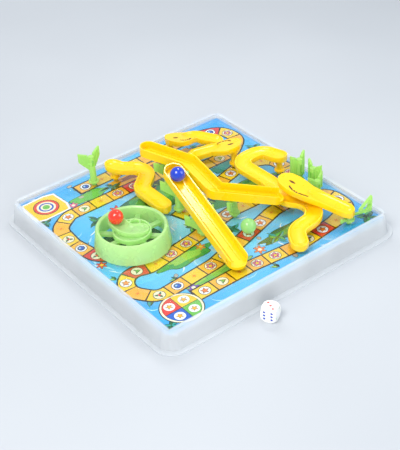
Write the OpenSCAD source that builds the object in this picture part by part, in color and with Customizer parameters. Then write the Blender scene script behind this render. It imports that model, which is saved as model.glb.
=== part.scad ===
// Three dimensional snakes and ladders board.
// A clear tray lies over a printed card. Legs and stands plug into the tray and hold up
// snake slides and ladder channels for rolling balls, and a drum holds a turning spinner.
// Origin at the middle of everything at table level, X right, Y away from the START side.

/* [Board] */
// Side of the square board over its rim
board_w = 300; // [260:5:360]
// Height of the rim above the table
rim_h = 25; // [20:1:40]
// Depth of the playing surface below the rim
rim_drop = 3; // [1:0.5:6]
// Width of the flat rim round the playing surface
rim_w = 5; // [3:0.5:10]
// Corner radius of the rim
corner_r = 12; // [8:1:24]
// How far each wall leans out between the rim and the table
draft_w = 5; // [1:0.5:10]
// Width of the flange outside the walls
flange_w = 5; // [2:0.5:12]
// Thickness of the flange
flange_t = 1.6; // [1:0.2:3]
// Thickness of the clear walls
tray_wall = 2; // [1:0.2:3.6]
// Thickness of the clear sheet over the card
plate_t = 3; // [2.8:0.2:5]
// Thickness of the printed card
card_t = 0.8; // [0.4:0.1:2]
// Gap between the card and the tray walls
card_gap = 0.5; // [0.2:0.1:2]
// Reach of the nubs that hold the card up
nub_w = 3; // [1.5:0.5:6]
// Length of each nub along its wall
nub_len = 18; // [8:1:40]
// Height of each nub
nub_h = 1.6; // [0.8:0.2:4]

/* [Track] */
// Diameter of a playing ball
ball_d = 17; // [14:0.5:20]
// Depth of the dimple that a ball rests in
dimple_depth = 2; // [1:0.1:2.2]
// Distance from one station to the next along the track
station_gap = 23; // [20:1:30]
// Radius of the bends of the track
track_r = 20; // [15:1:24]
// Distance of the START dimples from their middle, each way
start_step = 9; // [8:0.5:12]
// Smallest space between a dimple and anything that stands on the board
dimple_space = 1; // [0.5:0.5:4]
// Gap left between a resting ball and its seat
ball_gap = 0.2; // [0.1:0.05:0.5]

/* [Supports] */
// Diameter of the pegs that plug into the tray
peg_d = 6; // [4:0.5:8]
// Length of the peg inside the tray
peg_len = 4; // [3:0.5:4.5]
// Diameter of the pegs that plug into slides and channels
tip_d = 4.6; // [3:0.2:6]
// Length of the peg inside a slide or channel
tip_len = 3; // [2:0.5:4]
// Gap round every peg in its socket
peg_gap = 0.1; // [0.05:0.05:0.3]
// Diameter of the clear boss round a socket
boss_d = 14; // [12:0.5:18]
// Height of the clear boss above the playing surface
boss_h = 2; // [1:0.5:4]
// Thickness of the foot flange of a leg or stand
foot_t = 1.5; // [1:0.5:3]
// Diameter of the foot flange
foot_d = 12; // [9:0.5:14]
// Diameter of a leg at its foot
leg_d = 8; // [7:0.5:10]
// Diameter of a leg at its top
leg_top_d = 7; // [6:0.5:9]
// How far the bosses under slides and channels reach below them
seat_drop = 2.2; // [2:0.2:5]
// Diameter of the bosses under slides and channels
seat_d = 9; // [7:0.5:11]
// How far the bosses reach into a snake's floor
seat_bite = 1.5; // [1:0.1:2.5]

/* [Snakes] */
// Width of the wide snakes
snake_w = 20; // [18:0.5:24]
// Width of the slim snake
slim_w = 19.5; // [18:0.5:22]
// Height of a snake's side from its underside to its edge
snake_depth = 7.5; // [6:0.5:10]
// Depth of the groove that the ball rolls in
groove_depth = 4; // [3:0.25:4.5]
// Thickness of the snake's side walls at the edge
snake_wall = 1.8; // [1.2:0.1:3]
// Radius of a snake's bends along its middle
snake_r = 15; // [13:0.5:16]
// Length of the crossing snakes' heads
head_len = 34; // [30:1:38]
// Extra width of the crossing snakes' heads
head_extra = 8; // [6:0.5:10]
// Length of the straight snake's head
big_head_len = 44; // [38:1:48]
// Extra width of the straight snake's head
big_head_extra = 12; // [8:0.5:14]
// Height of the slim snake's high end above the playing surface
slim_high = 20; // [16:1:40]
// Height of the upper crossing snake's head
upper_high = 30; // [24:1:40]
// Height of the lower crossing snake's head
lower_high = 28; // [24:1:40]
// Height of the straight snake's head
straight_high = 32; // [30:1:40]
// Height of the straight snake's low end
straight_low = 15; // [14:0.5:22]
// Height of the long snake's high end
long_high = 24; // [20:1:26]
// Height of a snake's tail end
tail_high = 8.5; // [8:0.5:12]
// Height of the slim snake's low end
slim_low = 10; // [8:0.5:14]
// Width of the eye opening
eye_w = 3.6; // [2.4:0.2:5]
// Width of the mouth slot at its middle
mouth_w = 2.6; // [1.6:0.2:4]
// Diameter of each tooth
tooth_d = 1.6; // [1:0.1:2.4]

/* [Ladders] */
// Width of the straight channel
wide_w = 22.5; // [21:0.5:26]
// Width of the bent channel
bent_w = 20.5; // [20:0.5:24]
// Depth of both channels
channel_depth = 10; // [9:0.5:12]
// Thickness of the channel walls
channel_wall = 1.4; // [1:0.1:1.6]
// Thickness of the channel floor
channel_floor = 2; // [1.6:0.1:3]
// Width of the two rails on the channel floor
rail_w = 1.4; // [1:0.1:2]
// Height of the rails
rail_h = 1; // [0.6:0.1:1.6]
// Distance between the rails
rail_gap = 8; // [6:0.5:10]
// Height of the lip that the ball rolls over at the low end
lip_h = 2; // [1:0.5:4]
// Height of the straight channel's high end
wide_high = 50; // [44:1:56]
// Height of the straight channel's low end
wide_low = 14; // [13:0.5:20]
// Height of the bent channel's high end
bent_high = 47; // [46:0.5:54]
// Height of the bent channel's first bend
bent_upper = 43; // [42:0.5:46]
// Height of the bent channel's second bend
bent_lower = 37.5; // [36:0.5:41]
// Height of the bent channel's low end
bent_low = 28; // [27.5:0.5:34]

/* [Stands] */
// Width of a stand's post
post_w = 8; // [6:0.5:10]
// Thickness of a stand's panel
panel_t = 2.4; // [1.6:0.2:4]
// Reach of the wings of a stand that carries a channel
wing_w = 19; // [17:0.5:24]
// Reach of the wings of the back stand
back_wing_w = 15; // [11:0.5:18]
// Reach of the wings of the stands in the group at the right
group_wing_w = 11; // [9:0.5:14]
// Height of the panel at its middle
panel_h = 17; // [10:1:22]
// Height of the wings at their outer ends
wing_end_h = 11; // [6:0.5:16]
// Rise of the wings above the seat
horn_h = 6; // [3:0.5:10]
// Space beside a channel between the wings
cradle_gap = 1; // [0.5:0.25:3]
// Turn of each wing back from straight across
wing_turn = -20; // [-30:1:0]
// Side of the diamond windows in the corner stand
window_w = 3.6; // [3:0.2:5]
// Width of the upright ribs
rib_w = 1; // [0.6:0.1:1.6]
// Pitch of the upright ribs
rib_pitch = 3; // [2.4:0.1:5]
// How far the ribs stand out
rib_out = 0.7; // [0.4:0.1:1.2]
// How far the ribs stop short of the wing's edges
rib_inset = 0.4; // [0.2:0.1:1]
// Width of the slot in a post
slot_w = 3; // [2:0.25:4]
// Length of the slot in a post
slot_len = 9; // [6:0.5:12]
// Height of the back stand's seat
back_stand_h = 36; // [26:1:50]
// Distance from one stand to the next in the group at the right
group_step = 17.5; // [17:0.5:20]
// Height of the tallest stand in the group at the right
tall_stand_h = 30; // [28:1:40]
// Height of the middle stand in that group
mid_stand_h = 24; // [20:1:27]
// Height of the lowest stand in that group
low_stand_h = 18; // [14:1:22]

/* [Spinner] */
// Diameter of the spinner drum at its rim
drum_d = 78; // [72:1:90]
// Diameter of the drum at the board
drum_base_d = 84; // [80:1:96]
// Height of the drum
drum_h = 22; // [20:1:30]
// Thickness of the drum wall
drum_wall = 4; // [3:0.5:6]
// Height of the underside of the spokes
spoke_z = 8; // [6:0.5:9]
// Thickness of the spokes
spoke_t = 3; // [2:0.5:4]
// Width of the spokes
spoke_w = 6; // [4:0.5:8]
// Number of spokes
spokes = 8; // [5:1:10]
// Diameter of the drum's hub
hub_d = 24; // [20:1:28]
// Length of the hub below the spokes
hub_len = 4; // [3:0.5:4.5]
// Diameter of the rotor's stem
stem_d = 8; // [6:0.5:10]
// Running gap between stem and hub
run_gap = 0.08; // [0.03:0.01:0.1]
// Thickness of the washer under the rotor
washer_t = 0.6; // [0.4:0.1:1.2]
// Diameter of the washer
washer_d = 16; // [13:0.5:20]
// Diameter of the retaining clip
clip_d = 14; // [12:0.5:18]
// Thickness of the retaining clip
clip_t = 1; // [0.8:0.1:1.4]
// Depth of the clip's groove in the stem
clip_groove = 1; // [0.6:0.1:1.4]
// Diameter of the rotor dish
dish_d = 42; // [38:1:46]
// Thickness of the dish floor
dish_t = 2.4; // [2:0.2:3]
// Height of the dish rim above its floor
dish_rim_h = 2.5; // [1.5:0.5:3]
// Thickness of the dish rim
dish_rim_t = 1.8; // [1.2:0.1:3]
// Width of the chute on the rotor
chute_w = 19; // [17:0.5:20]
// Height of the chute's sides
chute_depth = 6; // [5:0.5:7]
// Depth of the chute's groove
chute_groove = 4; // [3:0.25:4.5]
// Height of the chute's outer edge above the dish floor
chute_high = 8; // [7:0.5:9]
// Height of the chute's inner edge above the dish floor
chute_low = 4.6; // [4.4:0.1:5.5]
// Radius of the chute's bend
chute_r = 14; // [11:0.5:16]
// Diameter of the finger cup on the rotor
cup_d = 13; // [10:0.5:15]
// Height of the finger cup above the dish floor
cup_h = 4; // [3:0.5:7]
// Wall of the finger cup
cup_wall = 1.6; // [1:0.1:2.4]

/* [Die] */
// Side of the die
die_w = 16; // [12:1:20]
// Diameter of the sphere that rounds the die, as a share of the die's side
die_ball_share = 1.46; // [1.4:0.01:1.6]
// Diameter of each pip
pip_d = 2.8; // [2:0.2:3.4]
// Depth of each pip
pip_depth = 0.5; // [0.3:0.1:0.8]
// Distance between the board's flange and the die
die_gap = 4; // [2:1:40]
// Turn of the die on the table
die_turn = 28; // [0:1:45]

/* [Hidden] */
$fn = 64;
hull_fn = 32;

yellow = [1, 0.84, 0.05];
green = [0.62, 0.86, 0.4];
clear = [0.84, 0.92, 0.96, 0.45];

overrun = 0.5;
sliver = 0.2;
play_z = rim_h - rim_drop;
foot_side = board_w + 2 * draft_w;
flange_side = foot_side + 2 * flange_w;
flange_r = corner_r + draft_w + flange_w;
card_top = play_z - plate_t;
// Width over the walls at height z
function over_walls(z) = board_w + 2 * draft_w * (1 - z / rim_h);
card_side = over_walls(card_top) - 2 * tray_wall - 2 * card_gap;
card_r = corner_r - tray_wall;
recess_side = board_w - 2 * rim_w;

// The die stands in front of the board, so the board is set back by half of what it adds
die_span = die_w * (cos(die_turn) + sin(die_turn));
set_back = (die_gap + die_span) / 2;

ball_r = ball_d / 2;
// Radius of a dimple's floor and of its mouth, for a ball that sits on the mouth
dimple_r = sqrt(ball_r * ball_r - (ball_r - dimple_depth) * (ball_r - dimple_depth));
dimple_floor_share = 0.6;

// Corners of the track and of every slide, as shares of the board's side
track_to_spinner_share = [[-0.3, -0.385], [-0.06, -0.385], [0.15, -0.405], [0.34, -0.385],
    [0.45, -0.35], [0.45, -0.235], [0.36, -0.18], [0.22, -0.185], [0.02, -0.245],
    [-0.14, -0.29], [-0.4, -0.31], [-0.455, -0.23], [-0.44, -0.12], [-0.33, -0.16],
    [-0.1, -0.125], [0.1, -0.085], [0.38, -0.09], [0.455, -0.02], [0.44, 0.09], [0.33, 0.135],
    [0.06, 0.06], [-0.13, 0.0]];
track_to_home_share = [[-0.44, 0.06], [-0.455, 0.14], [-0.445, 0.25], [-0.37, 0.3],
    [0.05, 0.3], [0.2, 0.23], [0.36, 0.23], [0.45, 0.3], [0.44, 0.4], [0.33, 0.435],
    [-0.33, 0.42]];
start_share = [-0.375, -0.405];
home_share = [-0.405, 0.405];
spinner_share = [-0.293, -0.01];
slim_share = [[-0.117, 0.417], [-0.09, 0.357], [0.007, 0.288], [-0.103, 0.203], [-0.093, 0.042]];
upper_share = [[0.125, 0.34], [0.27, 0.35], [0.36, 0.28]];
lower_share = [[0.335, 0.135], [0.26, 0.225], [0.18, 0.29]];
straight_share = [[0.28, -0.153], [0.303, -0.267], [0.375, -0.448]];
long_share = [[0.407, -0.043], [0.38, 0.07], [0.26, 0.078], [0.275, -0.1], [0.252, -0.22],
    [0.353, -0.35], [0.163, -0.368], [0.113, -0.457]];
wide_share = [[-0.046, 0.057], [-0.103, -0.367]];
bent_share = [[-0.008, 0.27], [0.06, 0.11], [0.037, -0.08], [0.203, -0.215]];
back_stand_share = [-0.183, 0.41];
tall_stand_share = [0.411, -0.115];
// Directions from each stand in the group at the right to the next
group_turns = [-72, -116];
spin_at = [spinner_share[0] * board_w, spinner_share[1] * board_w];
// Corners of the rotor's chute, as shares of the drum's diameter
chute_share = [[-0.09, 0.37], [-0.07, -0.02], [0.2, -0.13]];
cup_share = [0.12, 0.1];

// Places along slides, as shares of their length, where something holds them up
slim_hold_share = 0.09;
head_hold_share = 0.12;
straight_hold_share = 0.094;
straight_end_share = 0.94;
// How far the legs under heads stand to the left of the middle, as shares of half width
head_side_share = 0.6;
big_head_side_share = 0.85;
long_hold_share = 0.035;
long_mid_share = 0.5;
tail_foot_share = 0.95;
wide_top_share = 0.04;
wide_mid_share = 0.45;
bent_top_share = 0.45;
bent_low_share = 0.7;
wide_foot_share = 0.93;
die_x_share = -0.14;
blue_share = 0.06;
green_share = [0.05, -0.235];

arc_step = 12;
horn_inner_share = 0.35;
// How far the wings stay below the seat between them
seat_inset = 0.5;
// The face, as shares of a head's length and half width
eye_share = 0.3;
eye_back_share = 0.11;
mouth_share = 0.4;
mouth_long_share = 1.2;
mouth_on_share = 0.16;
mouth_side_share = 0.82;
end_angles = [18, 36, 54, 72, 90];
// Angles round the groove from one edge to the other
groove_angles = [0, 24, 48, 72, 90, 108, 132, 156, 180];
// Share of the half width that the groove's points take where there is no groove
flat_share = 0.4;
// Outside of a slide's section from one edge under to the other, as shares of half width, depth
snake_outer_share = [[-0.95, 0], [-1, 0.12], [-1, 0.68], [-0.95, 0.88], [-0.78, 1],
    [0.78, 1], [0.95, 0.88], [1, 0.68], [1, 0.12], [0.95, 0]];

// Paths of straights and arcs. A piece is its length, start, heading and turn.
function scaled(list, size) = [for (p = list) [p[0] * size, p[1] * size]];
function heading(a, b) = atan2(b[1] - a[1], b[0] - a[0]);
function wrapped(t) = t - 360 * round(t / 360);
function corner_cut(p, r, i) = (i == 0 || i == len(p) - 1) ? 0
    : r * tan(abs(wrapped(heading(p[i], p[i + 1]) - heading(p[i - 1], p[i]))) / 2);
function pieces(p, r) = [for (i = [0 : len(p) - 2])
    let (h = heading(p[i], p[i + 1]), a = corner_cut(p, r, i), b = corner_cut(p, r, i + 1),
        d = norm(p[i + 1] - p[i]),
        t = i < len(p) - 2 ? wrapped(heading(p[i + 1], p[i + 2]) - h) : 0)
    each concat([[d - a - b, p[i][0] + a * cos(h), p[i][1] + a * sin(h), h, 0]],
        t == 0 ? [] : [[r * abs(t) * PI / 180, p[i + 1][0] - b * cos(h),
            p[i + 1][1] - b * sin(h), h, t]])];
function length_to(pc, n) = n == 0 ? 0 : pc[n - 1][0] + length_to(pc, n - 1);
function path_len(pc) = length_to(pc, len(pc));
// Point and heading at distance s along a path
function along(pc, s, i = 0) = (i < len(pc) - 1 && s > pc[i][0]) ? along(pc, s - pc[i][0], i + 1)
    : let (q = pc[i], h = q[3], t = q[4])
    t == 0 ? [q[1] + s * cos(h), q[2] + s * sin(h), h]
    : let (k = q[0] / (t * PI / 180), g = h + t * s / q[0])
    [q[1] + k * (sin(g) - sin(h)), q[2] - k * (cos(g) - cos(h)), g];
// Distances where a path needs a ring: the start of a straight and steps round an arc
function path_marks(pc) = [for (i = [0 : len(pc) - 1])
    let (n = pc[i][4] == 0 ? 1 : ceil(abs(pc[i][4]) / arc_step), s = length_to(pc, i))
    for (k = [0 : n - 1]) s + pc[i][0] * k / n];

// A slide is its path, half width, side depth, groove depth, wall, head length, high, low and
// the extra width of its head
function slide(pc, half, depth, groove, wall, head, high, low, extra = 0) =
    [pc, half, depth, groove, wall, head, high, low, extra];
function edge_z(sl, s) = sl[6] + (sl[7] - sl[6]) * s / path_len(sl[0]);
function head_half(sl, s) = sl[1]
    + (s < sl[5] ? sl[8] / 2 * sin(180 * s / sl[5]) : 0);
// Share of the full width near a rounded end, p from the end of a band of half width w
function end_share(p, w) = p <= 0 ? 0 : p >= w ? 1 : sin(acos(1 - p / w));
// Where a slide's groove starts, and the rings that its rounded start needs
function groove_start(sl) = max(sl[4], sl[5] - sl[1] + sl[4]);
function head_marks(sl) = sl[5] == 0 ? [] : let (a = groove_start(sl), w = sl[1])
    concat([for (k = [1 : 3]) w + (a - w) * k / 3], [for (f = end_angles)
        a + (w - sl[4]) * (1 - cos(f))]);
function ring_marks(sl) = let (n = path_len(sl[0]), w = sl[1]) concat(
    [for (f = end_angles) w * (1 - cos(f))], head_marks(sl),
    [for (s = path_marks(sl[0])) if (s > max(w, sl[5]) + sliver && s < n - w - sliver) s],
    [for (k = [len(end_angles) - 1 : -1 : 0]) n - w * (1 - cos(end_angles[k]))]);
// Section of a slide: half width w, side depth d, groove half width g and depth e
function section(w, d, g, e) = concat([for (q = snake_outer_share) [q[0] * w, -q[1] * d]],
    [for (a = groove_angles) [g * cos(a), -e * sin(a)]]);
function groove_share(sl, s) = let (w = sl[1] - sl[4])
    min(end_share(s - groove_start(sl), w), end_share(path_len(sl[0]) - sl[4] - s, w));
function ring(sl, s) = let (p = along(sl[0], s), z = edge_z(sl, s), n = path_len(sl[0]),
    w = head_half(sl, s) * end_share(min(s, n - s), sl[1]), f = groove_share(sl, s),
    g = max(f * (sl[1] - sl[4]), flat_share * w), e = max(f * sl[3], sliver * sliver))
    [for (q = section(w, sl[2], g, e))
        [p[0] - q[0] * sin(p[2]), p[1] + q[0] * cos(p[2]), z + q[1]]];
function slide_rings(sl) = [for (s = ring_marks(sl)) ring(sl, s)];
// Place and height of the seat under a slide at distance s, side to the left of its middle
function slide_seat(sl, s, side = 0) = let (p = along(sl[0], s))
    [p[0] - side * sin(p[2]), p[1] + side * cos(p[2]), edge_z(sl, s) - sl[2] - seat_drop, p[2]];

function snake_path(list) = pieces(scaled(list, board_w), snake_r);
slim = slide(snake_path(slim_share), slim_w / 2, snake_depth, groove_depth, snake_wall, 0,
    slim_high, slim_low);
upper = slide(snake_path(upper_share), snake_w / 2, snake_depth, groove_depth, snake_wall,
    head_len, upper_high, tail_high, head_extra);
lower = slide(snake_path(lower_share), snake_w / 2, snake_depth, groove_depth, snake_wall,
    head_len, lower_high, tail_high, head_extra);
straight = slide(snake_path(straight_share), snake_w / 2, snake_depth, groove_depth, snake_wall,
    big_head_len, straight_high, straight_low, big_head_extra);
long = slide(snake_path(long_share), snake_w / 2, snake_depth, groove_depth, snake_wall, 0,
    long_high, tail_high);

// Channels run straight from point to point, each with the height of its edge
function with_heights(list, z) = [for (i = [0 : len(list) - 1])
    [list[i][0] * board_w, list[i][1] * board_w, z[i]]];
wide = with_heights(wide_share, [wide_high, wide_low]);
bent = with_heights(bent_share, [bent_high, bent_upper, bent_lower, bent_low]);
// Point and heading at a share of the length of a channel's span from point i to the next
function span_at(ch, i, f) = let (p = ch[i] + (ch[i + 1] - ch[i]) * f)
    [p[0], p[1], p[2], heading(ch[i], ch[i + 1])];
function span_pitch(a, b) = atan2(a[2] - b[2], norm([b[0] - a[0], b[1] - a[1]]));
// Height of a channel's underside below its edge, straight down
function span_drop(ch, i) = channel_depth / cos(span_pitch(ch[i], ch[i + 1]));
function span_seat(ch, i, f) = let (p = span_at(ch, i, f))
    [p[0], p[1], p[2] - span_drop(ch, i) - seat_drop, p[3]];

slim_hold = slide_seat(slim, path_len(slim[0]) * slim_hold_share);
upper_hold = slide_seat(upper, path_len(upper[0]) * head_hold_share,
    head_side_share * upper[1]);
lower_hold = slide_seat(lower, path_len(lower[0]) * head_hold_share,
    head_side_share * lower[1]);
straight_hold = slide_seat(straight, path_len(straight[0]) * straight_hold_share,
    big_head_side_share * straight[1]);
straight_end = slide_seat(straight, path_len(straight[0]) * straight_end_share);
long_hold = slide_seat(long, path_len(long[0]) * long_hold_share);
long_mid = slide_seat(long, path_len(long[0]) * long_mid_share);
wide_top = span_seat(wide, 0, wide_top_share);
wide_mid = span_seat(wide, 0, wide_mid_share);
bent_top = span_seat(bent, 0, bent_top_share);
bent_hold = span_seat(bent, 2, 1 - bent_low_share);
function free_site(share, h) = [share[0] * board_w, share[1] * board_w, h, 0];
back_site = free_site(back_stand_share, back_stand_h);
tall_site = free_site(tall_stand_share, tall_stand_h);
function next_site(p, k, h) = [p[0] + group_step * cos(group_turns[k]),
    p[1] + group_step * sin(group_turns[k]), h, 0];
mid_site = next_site(tall_site, 0, mid_stand_h);
low_site = next_site(mid_site, 1, low_stand_h);
SITES = [slim_hold, upper_hold, lower_hold, straight_hold, straight_end, long_hold, long_mid,
    wide_top, wide_mid, bent_top, bent_hold, back_site, tall_site, mid_site, low_site];
function tail_site(sl) = along(sl[0], path_len(sl[0]) * tail_foot_share);
TAILS = [tail_site(slim), tail_site(upper), tail_site(lower), tail_site(long)];

// Stations along the track that nothing else stands on
function stations(list) = let (pc = pieces(scaled(list, board_w), track_r), n = path_len(pc))
    [for (s = [station_gap / 2 : station_gap : n]) along(pc, s)];
function clear_of(p, list, r) = len([for (q = list)
    if (norm([p[0] - q[0], p[1] - q[1]]) < r + dimple_r + dimple_space) q]) == 0;
DIMPLES = [for (p = concat(stations(track_to_spinner_share), stations(track_to_home_share)))
    if (clear_of(p, SITES, boss_d / 2) && clear_of(p, TAILS, seat_d / 2)
        && clear_of(p, [spin_at], drum_base_d / 2)) p];
START = [for (x = [-1, 1]) for (y = [-1, 1])
    [start_share[0] * board_w + x * start_step, start_share[1] * board_w + y * start_step]];
HOME = [[home_share[0] * board_w, home_share[1] * board_w]];

module on_table() translate([0, set_back, 0]) children();
module on_board() translate([0, set_back, play_z]) children();

module rounded_square(side, r) {
    square([side, side - 2 * r], center = true);
    square([side - 2 * r, side], center = true);
    for (x = [-1, 1]) for (y = [-1, 1])
        translate([x * (side / 2 - r), y * (side / 2 - r)]) circle(r);
}

module leaning_block(side_low, r_low, side_high, r_high, z0, z1) {
    hull() {
        translate([0, 0, z0]) linear_extrude(sliver) rounded_square(side_low, r_low, $fn = hull_fn);
        translate([0, 0, z1 - sliver]) linear_extrude(sliver)
            rounded_square(side_high, r_high, $fn = hull_fn);
    }
}

module dimple_cut(p) translate([p[0], p[1], play_z - dimple_depth])
    cylinder(h = dimple_depth + overrun, r1 = dimple_r * dimple_floor_share,
        r2 = dimple_r + (1 - dimple_floor_share) * dimple_r * overrun / dimple_depth);

module tray() on_table() color(clear) {
    difference() {
        union() {
            linear_extrude(flange_t) rounded_square(flange_side, flange_r);
            leaning_block(foot_side, corner_r + draft_w, board_w, corner_r, 0, rim_h);
            for (p = SITES) translate([p[0], p[1], play_z - plate_t / 2])
                cylinder(h = boss_h + plate_t / 2, d = boss_d);
        }
        leaning_block(foot_side - 2 * tray_wall, corner_r + draft_w - tray_wall,
            over_walls(card_top) - 2 * tray_wall, corner_r - tray_wall, -sliver, card_top);
        difference() {
            translate([0, 0, play_z]) linear_extrude(rim_drop + overrun)
                rounded_square(recess_side, corner_r - rim_w);
            for (p = SITES) translate([p[0], p[1], play_z]) cylinder(h = boss_h, d = boss_d);
        }
        for (p = concat(DIMPLES, START, HOME)) dimple_cut(p);
        for (p = SITES) translate([p[0], p[1], play_z + boss_h - peg_len - peg_gap])
            cylinder(h = peg_len + peg_gap + overrun, d = peg_d + 2 * peg_gap);
        for (p = DRUM_PEGS) translate([p[0], p[1], play_z - drum_peg_len - peg_gap])
            cylinder(h = drum_peg_len + peg_gap + overrun, d = drum_peg_d + 2 * peg_gap);
    }
    nubs();
}

// Nubs inside the walls, close under the card
module nubs() {
    z = card_top - card_t - nub_h;
    half = over_walls(z) / 2 - tray_wall / 2;
    for (a = [0 : 90 : 270]) rotate(a) for (x = [-1, 1])
        translate([x * board_w / 4 - nub_len / 2, half - nub_w - tray_wall / 2, z])
            cube([nub_len, nub_w + tray_wall / 2, nub_h]);
}

module game_card() on_table() color([0.44, 0.78, 0.94])
    translate([0, 0, card_top - card_t]) linear_extrude(card_t) rounded_square(card_side, card_r);

// Solid through a list of rings with the same number of points
module band(rings) {
    m = len(rings[0]);
    n = len(rings);
    sides = [for (i = [0 : n - 2]) for (j = [0 : m - 1]) let (k = (j + 1) % m)
        each [[i * m + j, (i + 1) * m + j, (i + 1) * m + k], [i * m + j, (i + 1) * m + k, i * m + k]]];
    caps = [[for (j = [0 : m - 1]) j], [for (j = [m - 1 : -1 : 0]) (n - 1) * m + j]];
    polyhedron(points = [for (r = rings) each r], faces = concat(sides, caps));
}

// Boss under a slide and the socket in it
module seat_boss(p, top) translate([p[0], p[1], p[2]]) cylinder(h = top - p[2], d = seat_d);
module seat_socket(p) translate([p[0], p[1], p[2] - overrun])
    cylinder(h = tip_len + peg_gap + overrun, d = tip_d + 2 * peg_gap);

module snake(sl, holds, has_tail = true) color(yellow) {
    tail = tail_site(sl);
    tail_top = edge_z(sl, path_len(sl[0]) * tail_foot_share) - sl[2] + seat_bite;
    difference() {
        union() {
            band(slide_rings(sl));
            for (p = holds) seat_boss(p, p[2] + seat_drop + seat_bite);
            if (has_tail) translate([tail[0], tail[1], 0]) cylinder(h = tail_top, d = seat_d);
        }
        for (p = holds) seat_socket(p);
        if (sl[5] > 0) face_cuts(sl);
    }
}

// Eye slot and toothed mouth slot through a snake's head
module face_cuts(sl) {
    head = sl[5];
    p = along(sl[0], head / 2);
    half = head_half(sl, head / 2);
    eye_d = head * eye_share;
    mouth_r = head * mouth_share;
    eye_off = (eye_d - eye_w) / 2;
    translate([p[0], p[1], edge_z(sl, head / 2) - 2 * sl[2]]) rotate(p[2])
        linear_extrude(3 * sl[2]) {
            translate([-head * eye_back_share, 0]) intersection() {
                translate([0, eye_off]) circle(d = eye_d);
                translate([0, -eye_off]) circle(d = eye_d);
            }
            translate([head * mouth_on_share, -half * mouth_side_share]) difference() {
                intersection() {
                    translate([0, mouth_r]) circle(mouth_r);
                    square([mouth_r * mouth_long_share, mouth_r], center = true);
                }
                translate([0, mouth_r + mouth_w]) circle(mouth_r);
                for (k = [-1 : 1]) translate([k * 2 * tooth_d, mouth_w - tooth_d / 4])
                    circle(d = tooth_d);
            }
        }
}

module snake_slim() on_board() snake(slim, [slim_hold]);
module snake_upper() on_board() snake(upper, [upper_hold]);
module snake_lower() on_board() snake(lower, [lower_hold]);
module snake_straight() on_board() snake(straight, [straight_hold, straight_end], false);
module snake_long() on_board() snake(long, [long_hold, long_mid]);

// Flat shape with round ends from the origin along X
module stadium(n, r) {
    translate([0, -r]) square([n, 2 * r]);
    circle(r);
    translate([n, 0]) circle(r);
}

module span_place(a, b, z) translate(a) rotate([0, span_pitch(a, b), heading(a, b)])
    translate([0, 0, z]) children();

module channel(ch, w, holds, feet = []) color(yellow) {
    n = len(ch) - 1;
    in_r = w / 2 - channel_wall;
    difference() {
        union() {
            for (i = [0 : n - 1]) span_place(ch[i], ch[i + 1], -channel_depth)
                linear_extrude(channel_depth) stadium(norm(ch[i + 1] - ch[i]), w / 2);
            for (p = holds) seat_boss(p, p[2] + seat_drop + channel_depth / 2);
            for (p = feet) translate([p[0], p[1], 0])
                cylinder(h = p[2] - channel_depth / 2, d = seat_d);
        }
        difference() {
            for (i = [0 : n - 1]) span_place(ch[i], ch[i + 1], channel_floor - channel_depth)
                linear_extrude(channel_depth) stadium(norm(ch[i + 1] - ch[i]), in_r);
            for (i = [0 : n - 1]) for (y = [-1, 1])
                span_place(ch[i], ch[i + 1], -channel_depth)
                translate([0, y * rail_gap / 2 - rail_w / 2, 0])
                cube([norm(ch[i + 1] - ch[i]), rail_w, channel_floor + rail_h]);
        }
        span_place(ch[n - 1], ch[n], channel_floor + lip_h - channel_depth)
            translate([norm(ch[n] - ch[n - 1]), -in_r, 0]) cube([w, 2 * in_r, channel_depth]);
        for (p = holds) seat_socket(p);
    }
}

module ladder_straight() on_board()
    channel(wide, wide_w, [wide_top, wide_mid], [span_at(wide, 0, wide_foot_share)]);
module ladder_bent() on_board() channel(bent, bent_w, [bent_top, bent_hold]);

// Pegs at the two ends of a support: z is the seat that it carries
module foot_peg() translate([0, 0, boss_h - peg_len]) cylinder(h = peg_len, d = peg_d);
module foot_flange() translate([0, 0, boss_h]) cylinder(h = foot_t, d = foot_d);
module tip_peg(z) translate([0, 0, z - sliver]) cylinder(h = tip_len + sliver, d = tip_d);

module leg(p) on_board() color(yellow) translate([p[0], p[1], 0]) {
    foot_peg();
    foot_flange();
    translate([0, 0, boss_h]) cylinder(h = p[2] - boss_h, d1 = leg_d, d2 = leg_top_d);
    tip_peg(p[2]);
}

module leg_slim() leg(slim_hold);
module leg_upper() leg(upper_hold);
module leg_lower() leg(lower_hold);
module leg_straight() leg(straight_hold);
module leg_long_high() leg(long_hold);
module leg_long_mid() leg(long_mid);

// Heights of a wing's lower and upper edge at distance x from the post, with its seat at h
function wing_low(h) = max(boss_h + foot_t, h - panel_h);
function wing_end_low(h) = max(wing_low(h), h + horn_h - wing_end_h);
function wing_bottom(h, reach, x) = wing_low(h)
    + (wing_end_low(h) - wing_low(h)) * max(0, x - post_w / 2) / (reach - post_w / 2);
function wing_top(h, notch, reach, x) = x < notch ? h - seat_inset
    : h + horn_h * (horn_inner_share + (1 - horn_inner_share) * (x - notch) / (reach - notch));

module upright(t) rotate([90, 0, 0]) linear_extrude(t, center = true) children();

module wing(h, notch, reach) {
    upright(panel_t) polygon([[0, wing_low(h)], [post_w / 2, wing_low(h)],
        [reach, wing_end_low(h)], [reach, h + horn_h],
        [notch, h + horn_h * horn_inner_share], [notch, h - seat_inset], [0, h - seat_inset]]);
    for (x = [post_w / 2 + rib_pitch / 2 : rib_pitch : reach - rib_w])
        if (abs(x - notch) > rib_w) {
            low = wing_bottom(h, reach, x + rib_w / 2) + rib_inset;
            top = wing_top(h, notch, reach, x - rib_w / 2) - rib_inset;
            if (top - low > rib_w) translate([x - rib_w / 2, -panel_t / 2 - rib_out, low])
                cube([rib_w, panel_t + 2 * rib_out, top - low]);
        }
}

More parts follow.
